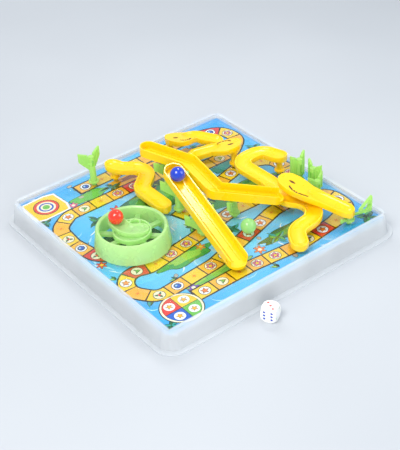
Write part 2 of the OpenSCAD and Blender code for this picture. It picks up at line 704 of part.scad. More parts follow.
// p holds the place, seat height and heading of what lies on the stand
module stand(p, notch, reach, carries = true, window = false) on_board() color(green)
    translate([p[0], p[1], 0]) rotate(p[3] - 90) {
        h = p[2];
        foot_peg();
        foot_flange();
        difference() {
            union() {
                rotate(wing_turn) wing(h, notch, reach);
                mirror([1, 0, 0]) rotate(wing_turn) wing(h, notch, reach);
                translate([0, 0, boss_h]) cylinder(h = h - boss_h, d1 = post_w, d2 = leg_top_d);
            }
            if (h > panel_h) translate([0, 0, h - panel_h / 2]) upright(2 * post_w) rotate(90)
                translate([(slot_w - slot_len) / 2, 0]) stadium(slot_len - slot_w, slot_w / 2);
            if (window) for (s = [-1, 1]) rotate(s * wing_turn)
                translate([s * (reach + notch) / 2, 0, h + horn_h / 2 - window_w / 2])
                upright(post_w) rotate(45) square(window_w, center = true);
        }
        if (carries) tip_peg(h);
    }

function notch_for(w) = (w / 2 + cradle_gap) / cos(wing_turn);
function turned(p, a) = [p[0], p[1], p[2], a];
module stand_ladder_top() stand(bent_top, notch_for(bent_w), wing_w);
module stand_ladder_low() stand(bent_hold, notch_for(bent_w), wing_w);
module stand_straight_top() stand(wide_top, notch_for(wide_w), wing_w);
module stand_straight_mid() stand(wide_mid, notch_for(wide_w), wing_w);
module stand_corner() stand(straight_end, notch_for(snake_w), wing_w, true, true);
module stand_back() stand(turned(back_site, -90), post_w / 2, back_wing_w, false);
module stand_right_tall() stand(turned(tall_site, -90), post_w / 2, group_wing_w, false);
module stand_right_mid() stand(turned(mid_site, 180), post_w / 2, group_wing_w, false);
module stand_right_low() stand(turned(low_site, -90), post_w / 2, group_wing_w, false);

drum_in_r = drum_d / 2 - drum_wall;
drum_lean = (drum_base_d - drum_d) / 2;
drum_peg_d = 3;
drum_peg_len = 2;
drum_pegs = 4;
DRUM_PEGS = [for (k = [0 : drum_pegs - 1]) let (r = drum_base_d / 2 - drum_wall / 2,
    a = (k + 0.5) * 360 / drum_pegs) [spin_at[0] + r * cos(a), spin_at[1] + r * sin(a)]];
hub_top = spoke_z + spoke_t;
stem_low = 1;
dish_low = hub_top + washer_t + run_gap;
dish_floor = dish_low + dish_t;

module at_spinner() on_board() translate([spin_at[0], spin_at[1], 0]) children();

module spinner_drum() at_spinner() color(green) {
    rim_round = drum_wall / 4;
    difference() {
        union() {
            rotate_extrude() polygon([[drum_base_d / 2, 0], [drum_d / 2, drum_h - rim_round],
                [drum_d / 2 - rim_round, drum_h], [drum_in_r + rim_round, drum_h],
                [drum_in_r, drum_h - rim_round], [drum_in_r + drum_lean, 0]]);
            for (k = [0 : spokes - 1]) rotate(k * 360 / spokes)
                translate([0, -spoke_w / 2, spoke_z])
                cube([drum_in_r + drum_lean / 2, spoke_w, spoke_t]);
            translate([0, 0, spoke_z - hub_len]) cylinder(h = hub_len + spoke_t, d = hub_d);
        }
        translate([0, 0, -overrun]) cylinder(h = drum_h + overrun, d = stem_d + 2 * run_gap);
    }
    for (p = DRUM_PEGS) translate([p[0] - spin_at[0], p[1] - spin_at[1], -drum_peg_len])
        cylinder(h = drum_peg_len + sliver, d = drum_peg_d);
}

module spinner_washer() at_spinner() color("whitesmoke") translate([0, 0, hub_top])
    difference() {
        cylinder(h = washer_t, d = washer_d);
        translate([0, 0, -overrun]) cylinder(h = washer_t + 2 * overrun, d = stem_d + 4 * run_gap);
    }

chute = slide(pieces(scaled(chute_share, drum_d), chute_r), chute_w / 2, chute_depth,
    chute_groove, snake_wall, 0, dish_floor + chute_high, dish_floor + chute_low);

module spinner_rotor() at_spinner() color(green) {
    difference() {
        union() {
            translate([0, 0, dish_low]) cylinder(h = dish_t, d = dish_d);
            translate([0, 0, dish_low]) difference() {
                cylinder(h = dish_t + dish_rim_h, d = dish_d);
                translate([0, 0, dish_t]) cylinder(h = dish_rim_h + overrun,
                    d = dish_d - 2 * dish_rim_t);
            }
            band(slide_rings(chute));
            translate([cup_share[0] * drum_d, cup_share[1] * drum_d, dish_low])
                cylinder(h = dish_t + cup_h, d = cup_d);
        }
        translate([cup_share[0] * drum_d, cup_share[1] * drum_d, dish_floor])
            cylinder(h = cup_h + overrun, d = cup_d - 2 * cup_wall);
    }
    difference() {
        translate([0, 0, stem_low]) cylinder(h = dish_low - stem_low + sliver, d = stem_d);
        translate([0, 0, stem_low + clip_t]) difference() {
            cylinder(h = clip_t + 2 * run_gap, d = stem_d + overrun);
            translate([0, 0, -overrun]) cylinder(h = clip_t + 2 * overrun,
                d = stem_d - 2 * clip_groove);
        }
    }
}

module spinner_clip() at_spinner() color("silver") translate([0, 0, stem_low + clip_t + run_gap])
    difference() {
        cylinder(h = clip_t, d = clip_d);
        translate([0, 0, -overrun]) cylinder(h = clip_t + 2 * overrun,
            d = stem_d - 2 * clip_groove + 2 * run_gap);
        translate([0, -(stem_d - 2 * clip_groove) / 2 - run_gap, -overrun])
            cube([clip_d, stem_d - 2 * clip_groove + 2 * run_gap, clip_t + 2 * overrun]);
    }

// The red ball lies at the chute's outer end, half its width in
red_place = let (p = along(chute[0], chute_w / 2), s = chute_w / 2)
    [p[0], p[1], edge_z(chute, s) - chute_groove + ball_r + ball_gap];
module ball_red() at_spinner() color([0.93, 0.16, 0.1]) translate(red_place) sphere(d = ball_d);

blue_pitch = span_pitch(wide[0], wide[1]);
rail_reach = (rail_gap - rail_w) / 2;
rail_sink = ball_r - sqrt(ball_r * ball_r - rail_reach * rail_reach);
blue_up = channel_floor + rail_h - channel_depth - rail_sink + ball_r + ball_gap;
blue_place = wide[0] + (wide[1] - wide[0]) * blue_share + [0, 0, blue_up / cos(blue_pitch)];
module ball_blue() on_board() color([0.12, 0.3, 0.85]) translate(blue_place) sphere(d = ball_d);

green_near = [green_share[0] * board_w, green_share[1] * board_w];
green_off = min([for (p = DIMPLES) norm([p[0], p[1]] - green_near)]);
green_place = [for (p = DIMPLES) if (norm([p[0], p[1]] - green_near) == green_off) p][0];
module ball_green() on_board() color([0.45, 0.82, 0.32])
    translate([green_place[0], green_place[1], ball_r - dimple_depth + ball_gap])
    sphere(d = ball_d);

pip_step = die_w / 4;
pip_faces = [[0, 0, 0], [0, 180, 0], [90, 0, 0], [-90, 0, 0], [0, 90, 0], [0, -90, 0]];
pip_spots = [[[-1, -1], [0, 0], [1, 1]],
    [[-1, -1], [1, -1], [-1, 1], [1, 1]],
    [[-1, -1], [1, 1]],
    [[-1, -1], [1, -1], [0, 0], [-1, 1], [1, 1]],
    [[0, 0]],
    [[-1, -1], [-1, 1], [0, -1], [0, 1], [1, -1], [1, 1]]];
die_place = [die_x_share * board_w, -flange_side / 2 - die_gap - die_span / 2, die_w / 2];

module die() on_table() color("white") translate(die_place) rotate(die_turn) difference() {
    intersection() {
        cube(die_w, center = true);
        sphere(d = die_w * die_ball_share);
    }
    for (f = [0 : 5]) rotate(pip_faces[f]) for (q = pip_spots[f])
        translate([q[0] * pip_step, q[1] * pip_step, die_w / 2 - pip_depth])
        cylinder(h = pip_depth + overrun, d = pip_d);
}

tray();
game_card();
snake_slim();
snake_upper();
snake_lower();
snake_straight();
snake_long();
ladder_straight();
ladder_bent();
leg_slim();
leg_upper();
leg_lower();
leg_straight();
leg_long_high();
leg_long_mid();
stand_ladder_top();
stand_ladder_low();
stand_straight_top();
stand_straight_mid();
stand_corner();
stand_back();
stand_right_tall();
stand_right_mid();
stand_right_low();
spinner_drum();
spinner_washer();
spinner_rotor();
spinner_clip();
ball_red();
ball_blue();
ball_green();
die();
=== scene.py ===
import math
import random
from collections import namedtuple

import bmesh
import bpy
from mathutils import Matrix, Vector


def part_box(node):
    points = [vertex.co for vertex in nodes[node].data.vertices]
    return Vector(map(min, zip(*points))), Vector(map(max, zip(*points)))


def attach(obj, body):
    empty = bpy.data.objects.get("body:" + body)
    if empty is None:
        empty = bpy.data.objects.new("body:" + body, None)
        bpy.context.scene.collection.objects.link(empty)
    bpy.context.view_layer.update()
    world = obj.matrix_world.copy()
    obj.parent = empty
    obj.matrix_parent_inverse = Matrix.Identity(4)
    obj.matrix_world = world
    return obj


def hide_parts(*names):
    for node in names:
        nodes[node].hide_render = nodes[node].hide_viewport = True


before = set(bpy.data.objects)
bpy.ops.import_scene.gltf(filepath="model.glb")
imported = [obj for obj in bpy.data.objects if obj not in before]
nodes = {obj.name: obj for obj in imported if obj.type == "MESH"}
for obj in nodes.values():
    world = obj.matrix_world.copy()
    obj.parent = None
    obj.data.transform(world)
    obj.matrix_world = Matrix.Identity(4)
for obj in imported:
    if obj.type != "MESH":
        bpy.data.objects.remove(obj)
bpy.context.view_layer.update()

# Here the imported board gets its materials and rounded edges, the card its print with painted
# shade under the drum, six parts a changed copy, the faces' slots dark films of painted shade, the
# die its coloured pips, and the whole a floor, lights and a camera.
tray_lo, tray_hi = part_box("tray")
card_lo, card_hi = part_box("game_card")
SET_BACK = (tray_lo.y + tray_hi.y) / 2
MM = 0.001
BOARD = 300.0  # the side of the board in mm, which the paths are shares of


def at(x, y, z=0.0):
    """The place in metres of a point in mm from the board's middle and the table."""
    return Vector((x * MM, y * MM + SET_BACK, z * MM))


# ---------------------------------------------------------------- materials

def new_material(name):
    m = bpy.data.materials.new(name)
    m.use_nodes = True
    return m, m.node_tree, m.node_tree.nodes["Principled BSDF"]


def noise(nt, scale, detail, stretch=(1, 1, 1)):
    """Noise over the piece's own coordinates."""
    coord = nt.nodes.new("ShaderNodeTexCoord")
    mapping = nt.nodes.new("ShaderNodeMapping")
    mapping.inputs["Scale"].default_value = stretch
    tex = nt.nodes.new("ShaderNodeTexNoise")
    tex.inputs["Scale"].default_value = scale
    tex.inputs["Detail"].default_value = detail
    nt.links.new(coord.outputs["Object"], mapping.inputs["Vector"])
    nt.links.new(mapping.outputs["Vector"], tex.inputs["Vector"])
    return tex.outputs["Fac"]


def ramp(nt, fac, stops):
    """A colour ramp through stops of a position and a colour."""
    r = nt.nodes.new("ShaderNodeValToRGB")
    for i in (0, -1):
        e = r.color_ramp.elements[i]
        e.position, e.color = stops[i][0], (*stops[i][1], 1)
    for pos, rgb in stops[1:-1]:
        e = r.color_ramp.elements.new(pos)
        e.color = (*rgb, 1)
    nt.links.new(fac, r.inputs["Fac"])
    return r.outputs["Color"]


def span(nt, fac, low, high, a=0.3, b=0.7):
    """Values from a to b mapped to low to high."""
    n = nt.nodes.new("ShaderNodeMapRange")
    for key, v in (("From Min", a), ("From Max", b), ("To Min", low), ("To Max", high)):
        n.inputs[key].default_value = v
    nt.links.new(fac, n.inputs["Value"])
    return n.outputs["Result"]


def math_node(nt, operation, *values):
    """A math node over numbers or sockets."""
    n = nt.nodes.new("ShaderNodeMath")
    n.operation = operation
    for i, v in enumerate(values):
        if isinstance(v, (int, float)):
            n.inputs[i].default_value = v
        else:
            nt.links.new(v, n.inputs[i])
    return n.outputs["Value"]


def translucent(nt, rgb):
    t = nt.nodes.new("ShaderNodeBsdfTranslucent")
    t.inputs["Color"].default_value = (*rgb, 1)
    return t.outputs["BSDF"]


def mixed(nt, fac, first, second):
    """Two shaders mixed by a number or a socket."""
    mix = nt.nodes.new("ShaderNodeMixShader")
    if isinstance(fac, float):
        mix.inputs["Fac"].default_value = fac
    else:
        nt.links.new(fac, mix.inputs["Fac"])
    nt.links.new(first, mix.inputs[1])
    nt.links.new(second, mix.inputs[2])
    return mix.outputs["Shader"]


def surface(nt, shader):
    nt.links.new(shader, nt.nodes["Material Output"].inputs["Surface"])


def linear(rgb):
    """Screen colour values as the linear ones that shaders take."""
    return tuple(c / 12.92 if c <= 0.04045 else ((c + 0.055) / 1.055) ** 2.4 for c in rgb)


def hexa(text):
    return linear(tuple(int(text[i:i + 2], 16) / 255 for i in (0, 2, 4)))


def shade(rgb, k):
    return tuple(min(1.0, c * k) for c in rgb)


def moulded(name, colour, rough=0.28, coat=0.35, glow=0.0, through=0.0, bump=0.06, clear=0.0):
    """Moulded plastic: slight flow marks in its colour, fine grain, uneven polish. glow, through
    and clear are the shares of scattered, translucent and transmitted light."""
    m, nt, p = new_material(name)
    rgb = hexa(colour)
    flow = noise(nt, 26, 4, (1, 0.6, 2.2))
    nt.links.new(ramp(nt, flow, [(0.3, shade(rgb, 0.965)), (0.52, rgb), (0.75, shade(rgb, 1.02))]),
                 p.inputs["Base Color"])
    p.inputs["Transmission Weight"].default_value = clear
    polish = noise(nt, 70, 2)
    nt.links.new(span(nt, polish, rough * 0.8, rough * 1.3), p.inputs["Roughness"])
    b = nt.nodes.new("ShaderNodeBump")
    b.inputs["Strength"].default_value = bump
    b.inputs["Distance"].default_value = 0.0004
    nt.links.new(noise(nt, 900, 2), b.inputs["Height"])
    nt.links.new(b.outputs["Normal"], p.inputs["Normal"])
    p.inputs["Coat Weight"].default_value = coat
    p.inputs["Coat Roughness"].default_value = 0.12
    p.inputs["IOR"].default_value = 1.5
    if glow:
        p.inputs["Subsurface Weight"].default_value = glow
        p.inputs["Subsurface Radius"].default_value = (0.006, 0.004, 0.002)
        p.inputs["Subsurface Scale"].default_value = 1.0
    if through:
        surface(nt, mixed(nt, through, p.outputs["BSDF"], translucent(nt, shade(rgb, 1.1))))
    return m


WALL_FROM, WALL_TO = 0.1446, 0.1462  # metres from the middle, between which the wall starts
MILK = "f6f9fc"


def clear_sheet():
    """Clear vacuum formed plastic: open over the print, milky along the walls and the rim."""
    m, nt, p = new_material("tray_clear_formed")
    coord = nt.nodes.new("ShaderNodeTexCoord")
    sep = nt.nodes.new("ShaderNodeSeparateXYZ")
    nt.links.new(coord.outputs["Object"], sep.inputs["Vector"])
    ax = math_node(nt, "ABSOLUTE", sep.outputs["X"])
    ay = math_node(nt, "ABSOLUTE", math_node(nt, "SUBTRACT", sep.outputs["Y"], SET_BACK))
    wall = span(nt, math_node(nt, "MAXIMUM", ax, ay), 0.0, 1.0, WALL_FROM, WALL_TO)
    cloudy = span(nt, noise(nt, 11, 2, (1, 1, 0.3)), 0.55, 0.8)
    see = nt.nodes.new("ShaderNodeBsdfTransparent")
    see.inputs["Color"].default_value = (0.985, 0.995, 1.0, 1)
    gloss = nt.nodes.new("ShaderNodeBsdfGlossy")
    gloss.inputs["Roughness"].default_value = 0.05
    fresnel = nt.nodes.new("ShaderNodeFresnel")
    fresnel.inputs["IOR"].default_value = 1.3
    shine = math_node(nt, "MULTIPLY", fresnel.outputs["Fac"], 0.25)
    p.inputs["Base Color"].default_value = (*hexa(MILK), 1)
    p.inputs["Roughness"].default_value = 0.22
    p.inputs["Coat Weight"].default_value = 0.5
    window = mixed(nt, shine, see.outputs["BSDF"], gloss.outputs["BSDF"])
    body = mixed(nt, 0.45, p.outputs["BSDF"], translucent(nt, hexa(MILK)))
    surface(nt, mixed(nt, math_node(nt, "MULTIPLY", wall, cloudy), window, body))
    return m


def brushed():
    """Spring steel with fine lines along it."""
    m, nt, p = new_material("clip_spring_steel")
    p.inputs["Metallic"].default_value = 1.0
    lines = noise(nt, 300, 3, (1, 1, 8))
    nt.links.new(ramp(nt, lines, [(0.3, hexa("9aa0a6")), (0.7, hexa("d5d8db"))]),
                 p.inputs["Base Color"])
    nt.links.new(span(nt, noise(nt, 500, 2), 0.2, 0.4), p.inputs["Roughness"])
    return m


def half_matt(nt, p):
    nt.links.new(span(nt, noise(nt, 90, 2), 0.42, 0.6), p.inputs["Roughness"])
    p.inputs["Specular IOR Level"].default_value = 0.2


def printed(name, colour, mottle=0.07):
    """Ink on card: a faint press mottle in the colour, half matt."""
    m, nt, p = new_material("print_" + name)
    rgb = hexa(colour)
    nt.links.new(ramp(nt, noise(nt, 420, 5), [(0.3, shade(rgb, 1 - mottle)),
                                              (0.7, shade(rgb, 1 + mottle))]),
                 p.inputs["Base Color"])
    half_matt(nt, p)
    return m


def sea_print():
    """The card's ground: light water in the middle, deeper blue at the edges, painted swirls."""
    m, nt, p = new_material("print_water")
    coord = nt.nodes.new("ShaderNodeTexCoord")
    centred = nt.nodes.new("ShaderNodeMapping")
    centred.inputs["Location"].default_value = (0, -SET_BACK, 0)
    nt.links.new(coord.outputs["Object"], centred.inputs["Vector"])
    dist = nt.nodes.new("ShaderNodeVectorMath")
    dist.operation = "LENGTH"
    nt.links.new(centred.outputs["Vector"], dist.inputs[0])
    depth = math_node(nt, "MULTIPLY_ADD", noise(nt, 13, 4), 0.1, dist.outputs["Value"])
    nt.links.new(ramp(nt, span(nt, depth, 0, 1, 0.05, 0.24),
                      [(0, hexa("a0e2fb")), (0.35, hexa("80d6f9")), (0.7, hexa("52c0f2")),
                       (1, hexa("2fa3e6"))]),
                 p.inputs["Base Color"])
    half_matt(nt, p)
    return m


yellow = moulded("yellow_moulded", "ffcf06", rough=0.3, glow=0.08)
green = moulded("green_clear_moulded", "d4f6b4", rough=0.24, coat=0.5, through=0.45, bump=0.04,
                clear=0.2)
lime = moulded("lime_clear_moulded", "c9f290", rough=0.24, coat=0.5, through=0.4, bump=0.04,
               clear=0.2)
leaf = moulded("leaf_moulded", "c6fbb0", rough=0.12, coat=0.8, through=0.5, bump=0.02, clear=0.3)
red = moulded("red_moulded", "f2331f", rough=0.14, coat=0.9, glow=0.05, bump=0.02)
blue = moulded("blue_moulded", "0f3ac2", rough=0.14, coat=0.9, glow=0.05, bump=0.02)
white = moulded("white_moulded", "f6f6f4", rough=0.22, coat=0.5, glow=0.1)
nylon = moulded("washer_nylon", "ecebe4", rough=0.4, coat=0.1)
steel = brushed()
clear = clear_sheet()
BY_NODE = {"tray": clear, "spinner_washer": nylon, "spinner_clip": steel, "ball_red": red,
           "ball_blue": blue, "ball_green": leaf, "die": white, "spinner_drum": green,
           "spinner_rotor": green}
for name in nodes:
    if name.startswith("stand_"):
        BY_NODE[name] = lime
    if name.startswith(("snake_", "ladder_", "leg_")):
        BY_NODE[name] = yellow


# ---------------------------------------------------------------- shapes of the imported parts

# Edge radii in metres, as far as a mesh takes them. Blender's clamp leaves less of a bevel where
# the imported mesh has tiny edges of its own, and the meshes that would keep none have 0.
EDGE = 0.00035
EDGES = {"tray": 0.0006, "game_card": 0, "spinner_drum": 0, "spinner_rotor": 0,
         "spinner_washer": 0.0001, "spinner_clip": 0.00015, "die": 0.0003,
         "ladder_straight": 0.0004, "ladder_bent": 0}
BEVEL_OVER, SPLIT_OVER = math.radians(34), math.radians(38)


def soften(o, width):
    """Rounded edges and smooth shading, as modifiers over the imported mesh."""
    mesh = o.data
    if "custom_normal" in mesh.attributes:
        mesh.attributes.remove(mesh.attributes["custom_normal"])
    for poly in mesh.polygons:
        poly.use_smooth = True
    weld = o.modifiers.new("weld", "WELD")
    weld.merge_threshold = 1e-6
    if width:
        bevel = o.modifiers.new("edges", "BEVEL")
        bevel.width = width
        bevel.segments = 2
        bevel.limit_method = "ANGLE"
        bevel.angle_limit = BEVEL_OVER
        bevel.use_clamp_overlap = True
    split = o.modifiers.new("split", "EDGE_SPLIT")
    split.split_angle = SPLIT_OVER
    split.use_edge_sharp = False
    normal = o.modifiers.new("normals", "WEIGHTED_NORMAL")
    normal.keep_sharp = True


for name, o in nodes.items():
    if name in BY_NODE:
        o.data.materials.clear()
        o.data.materials.append(BY_NODE[name])
    soften(o, EDGES.get(name, 0 if name.startswith(("ball_", "snake_")) else EDGE))


def mesh_of(bm, name):
    mesh = bpy.data.meshes.new(name)
    bm.to_mesh(mesh)
    bm.free()
    return mesh


def piece(name, mesh, materials, body="board"):
    """A new object that moves with a body."""
    o = bpy.data.objects.new(name, mesh)
    bpy.context.scene.collection.objects.link(o)
    for m in materials:
        o.data.materials.append(m)
    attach(o, body)
    return o


# ---------------------------------------------------------------- the printed card

def heading(a, b):
    return math.atan2(b[1] - a[1], b[0] - a[0])


def turn(t):
    """An angle brought to between -pi and pi."""
    return (t + math.pi) % (2 * math.pi) - math.pi


def round_path(points, r, own=None):
    """Straights and arcs through the corners, as (length, start, heading, turn). own gives the
    corners with a radius of their own."""
    out = []
    n = len(points)
    radii = [(own or {}).get(i, r) for i in range(n)]
    cuts = [0.0] * n
    for i in range(1, n - 1):
        t = turn(heading(points[i], points[i + 1]) - heading(points[i - 1], points[i]))
        cuts[i] = radii[i] * math.tan(abs(t) / 2)
    for i in range(n - 1):
        h = heading(points[i], points[i + 1])
        d = math.dist(points[i], points[i + 1])
        c, s = math.cos(h), math.sin(h)
        out.append((d - cuts[i] - cuts[i + 1],
                    (points[i][0] + cuts[i] * c, points[i][1] + cuts[i] * s), h, 0.0))
        if i < n - 2:
            t = turn(heading(points[i + 1], points[i + 2]) - h)
            b = cuts[i + 1]
            if abs(t) > 1e-6:
                out.append((radii[i + 1] * abs(t),
                            (points[i + 1][0] - b * c, points[i + 1][1] - b * s), h, t))
    return out


def along(path, s):
    """The place and heading at the length s of a path."""
    for i, (n, p, h, t) in enumerate(path):
        if s <= n or i == len(path) - 1:
            break
        s -= n
    if not t:
        return p[0] + s * math.cos(h), p[1] + s * math.sin(h), h
    k, g = n / t, h + t * s / n
    return p[0] + k * (math.sin(g) - math.sin(h)), p[1] - k * (math.cos(g) - math.cos(h)), g


def path_length(path):
    return sum(p[0] for p in path)


def side(q, w):
    """The place w to the left of a place and heading."""
    return q[0] - w * math.sin(q[2]), q[1] + w * math.cos(q[2])


# The print is drawn as flat shapes in mm. A shape's layer says how high it lies in the stack.
INKS = {"black": "0c0e12", "yellow": "ffd21c", "amber": "ffba30", "red": "e5372b",
        "cream": "fff3cf", "white": "fbfcfb", "deep": "1f6b3a", "green": "3fa545",
        "lime": "9bd04a", "teal": "1fa39a", "sky": "a9e2fb", "navy": "1c5fc4",
        "violet": "7a4fb5", "pink": "f2699b", "brown": "9a5a2c", "stone": "b9b2a2",
        "grass": "6cc04a", "orange": "f07f22", "night": "173a40"}
ART = {}


def ink(layer, colour, pts):
    """Adds a shape to the print."""
    ART.setdefault(colour, []).append((layer, pts))


def disc(x, y, r, n=30, squash=1.0, rot=0.0):
    """A round shape of n corners, or an oval when squashed."""
    c, s = math.cos(rot), math.sin(rot)
    out = []
    for k in range(n):
        a = 2 * math.pi * k / n
        u, v = r * math.cos(a), r * squash * math.sin(a)
        out.append((x + u * c - v * s, y + u * s + v * c))
    return out


def star(x, y, r, points, inner, rot):
    """A star whose inner corners lie at the share inner of r."""
    out = []
    for k in range(2 * points):
        q, a = r * inner if k % 2 else r, rot + math.pi * k / points
        out.append((x + q * math.cos(a), y + q * math.sin(a)))
    return out


def blade(x, y, n, w, a, bend=0.0):
    """A pointed leaf from x, y of length n, widest a little before its middle."""
    steps = 7
    left, right = [], []
    for k in range(steps + 1):
        f = k / steps
        g = a + bend * f
        cx, cy = x + n * f * math.cos(g), y + n * f * math.sin(g)
        half = w / 2 * math.sin(math.pi * f ** 0.75)
        left.append((cx - half * math.sin(g), cy + half * math.cos(g)))
        right.append((cx + half * math.sin(g), cy - half * math.cos(g)))
    return left + right[-2:0:-1]


def blob(x, y, rx, ry, lobes, depth, phase):
    """An oval with a wavy edge."""
    n = 56
    return [(x + rx * math.cos(a) * (1 + depth * math.sin(lobes * a + phase)),
             y + ry * math.sin(a) * (1 + depth * math.sin(lobes * a + phase)))
            for a in (2 * math.pi * k / n for k in range(n))]


def grown(pts, d):
    """The shape pushed out by about d from its middle."""
    cx = sum(p[0] for p in pts) / len(pts)
    cy = sum(p[1] for p in pts) / len(pts)
    out = []
    for x, y in pts:
        r = math.hypot(x - cx, y - cy) or 1.0
        out.append((cx + (x - cx) * (r + d) / r, cy + (y - cy) * (r + d) / r))
    return out


def lined(layer, colour, pts, line=1.1):
    """A shape with a black outline."""
    ink(layer, "black", grown(pts, line))
    ink(layer + 0.5, colour, pts)


def tuft(x, y, r, count, colours, spread=2 * math.pi, start=0.0, w=0.26):
    """A tuft of leaves round x, y."""
    for k in range(count):
        a = start + spread * k / count + 0.1 * math.sin(5 * k)
        b = blade(x, y, r * (0.85 + 0.15 * math.cos(3 * k)), r * w, a, 0.35 * (-1) ** k)
        ink(1.0, "black", grown(b, 0.7))
        ink(1.5, colours[k % len(colours)], b)


def wave(x, y, r, a0, a1, colour, w=1.5):
    """A thin crescent of radius r from the angle a0 to a1."""
    n = 12
    outer = [(x + r * math.cos(a0 + (a1 - a0) * k / n), y + r * math.sin(a0 + (a1 - a0) * k / n))
             for k in range(n + 1)]
    inner = []
    for k in range(n, -1, -1):
        a = a0 + (a1 - a0) * k / n
        q = r - w * math.sin(math.pi * k / n)
        inner.append((x + q * math.cos(a), y + q * math.sin(a)))
    ink(0.5, colour, outer + inner[1:-1])


def flower(x, y, r, petal, heart):
    """A flower of six petals round a heart."""
    pts = [(x + r * (0.72 + 0.28 * math.cos(6 * a)) * math.cos(a),
            y + r * (0.72 + 0.28 * math.cos(6 * a)) * math.sin(a))
           for a in (2 * math.pi * k / 48 for k in range(48))]
    lined(1.0, petal, pts, 0.75)
    ink(1.75, heart, disc(x, y, r * 0.32, 16))


MOTIF_SCALE, LEAF_STEP, PETAL_STEP = 1.3, 2.1, 1.256


def motif(x, y, a, kind):
    """A small generic picture in the middle of a tile."""
    kind %= 6

    def add(layer, colour, pts):
        ink(layer, colour, [(x + MOTIF_SCALE * (u - x), y + MOTIF_SCALE * (v - y))
                            for u, v in pts])

    def arrow(tip, back, wide, notch):
        return [(x + tip * c, y + tip * s), (x - back * c - wide * s, y - back * s + wide * c),
                (x - notch * c, y - notch * s), (x - back * c + wide * s, y - back * s - wide * c)]

    c, s = math.cos(a), math.sin(a)
    add(3.5, "black", disc(x, y, 5.2, 26))
    add(3.75, "cream" if kind % 2 else "white", disc(x, y, 4.7, 26))
    if kind == 0:
        add(4, "black", star(x, y, 4.0, 5, 0.48, a))
        add(4.5, "orange", star(x, y, 3.3, 5, 0.48, a))
    elif kind == 1:
        for k in range(3):
            add(4, "deep", blade(x, y, 4.3, 2.2, a + LEAF_STEP * k))
        add(4.5, "red", disc(x, y, 1.2, 14))
    elif kind == 2:
        add(4, "black", disc(x, y, 3.2, 20))
        add(4.5, "navy", disc(x, y, 2.6, 20))
        add(4.75, "sky", disc(x - 0.7, y + 0.8, 1.0, 12))
    elif kind == 3:
        for k in range(5):
            b = a + PETAL_STEP * k
            petal = x + 2.5 * math.cos(b), y + 2.5 * math.sin(b)
            add(4, "black", disc(*petal, 1.5, 14))
            add(4.5, "pink", disc(*petal, 1.05, 14))
        add(4.75, "yellow", disc(x, y, 1.4, 14))
    elif kind == 4:
        add(4, "black", disc(x, y, 3.9, 22, 0.62, a))
        add(4.5, "brown", disc(x, y, 3.3, 22, 0.55, a))
        add(4.75, "amber", disc(x + 0.6 * c, y + 0.6 * s, 1.5, 14, 0.6, a))
    else:
        add(4, "black", arrow(3.6, 2, 3.2, 0.8))
        add(4.5, "grass", arrow(2.7, 1.4, 2.1, 0.3))


# The middle lines of the tile tracks, as shares of the board
TRACKS = ([[-0.3, -0.385], [-0.06, -0.385], [0.15, -0.405], [0.34, -0.385], [0.45, -0.35],
           [0.45, -0.235], [0.36, -0.18], [0.22, -0.185], [0.02, -0.245], [-0.14, -0.29],
           [-0.4, -0.31], [-0.455, -0.23], [-0.44, -0.12], [-0.33, -0.16], [-0.1, -0.125],
           [0.1, -0.085], [0.38, -0.09], [0.455, -0.02], [0.44, 0.09], [0.33, 0.135],
           [0.06, 0.06], [-0.13, 0.0]],
          [[-0.44, 0.06], [-0.455, 0.14], [-0.445, 0.25], [-0.37, 0.3], [0.05, 0.3], [0.2, 0.23],
           [0.36, 0.23], [0.45, 0.3], [0.44, 0.4], [0.33, 0.435], [-0.33, 0.42]],
          [[-0.44, 0.06], [-0.431, 0.012], [-0.3, -0.055]])
TRACK_BEND = 20.0
TILE, HALF, LINE, GAP = 23.0, 8.2, 1.8, 0.75  # length, half width, outline and gap of a tile


def scaled(points):
    return [(x * BOARD, y * BOARD) for x, y in points]


def strip(path, s0, s1, w):
    """A band along a path, from s0 to s1 and w to each side."""
    steps = 6
    qs = [along(path, s0 + (s1 - s0) * k / steps) for k in range(steps + 1)]
    return [side(q, w) for q in qs] + [side(q, -w) for q in reversed(qs)]


count = 0
for track in TRACKS:
    path = round_path(scaled(track), TRACK_BEND)
    for k in range(int(path_length(path) // TILE)):
        s0, s1 = k * TILE, (k + 1) * TILE
        ink(2.5, "black", strip(path, s0 - LINE, s1 + LINE, HALF + LINE))
        colour = "red" if count % 9 == 7 else ("yellow", "amber")[count % 2]
        ink(3, colour, strip(path, s0 + GAP, s1 - GAP, HALF))
        x, y, a = along(path, (s0 + s1) / 2)
        if count % 3 != 2:
            motif(x, y, a, count * 5 + count // 4)
        else:
            ink(3.5, "cream" if colour == "red" else "orange", star(x, y, 3.2, 4, 0.3, a))
        count += 1

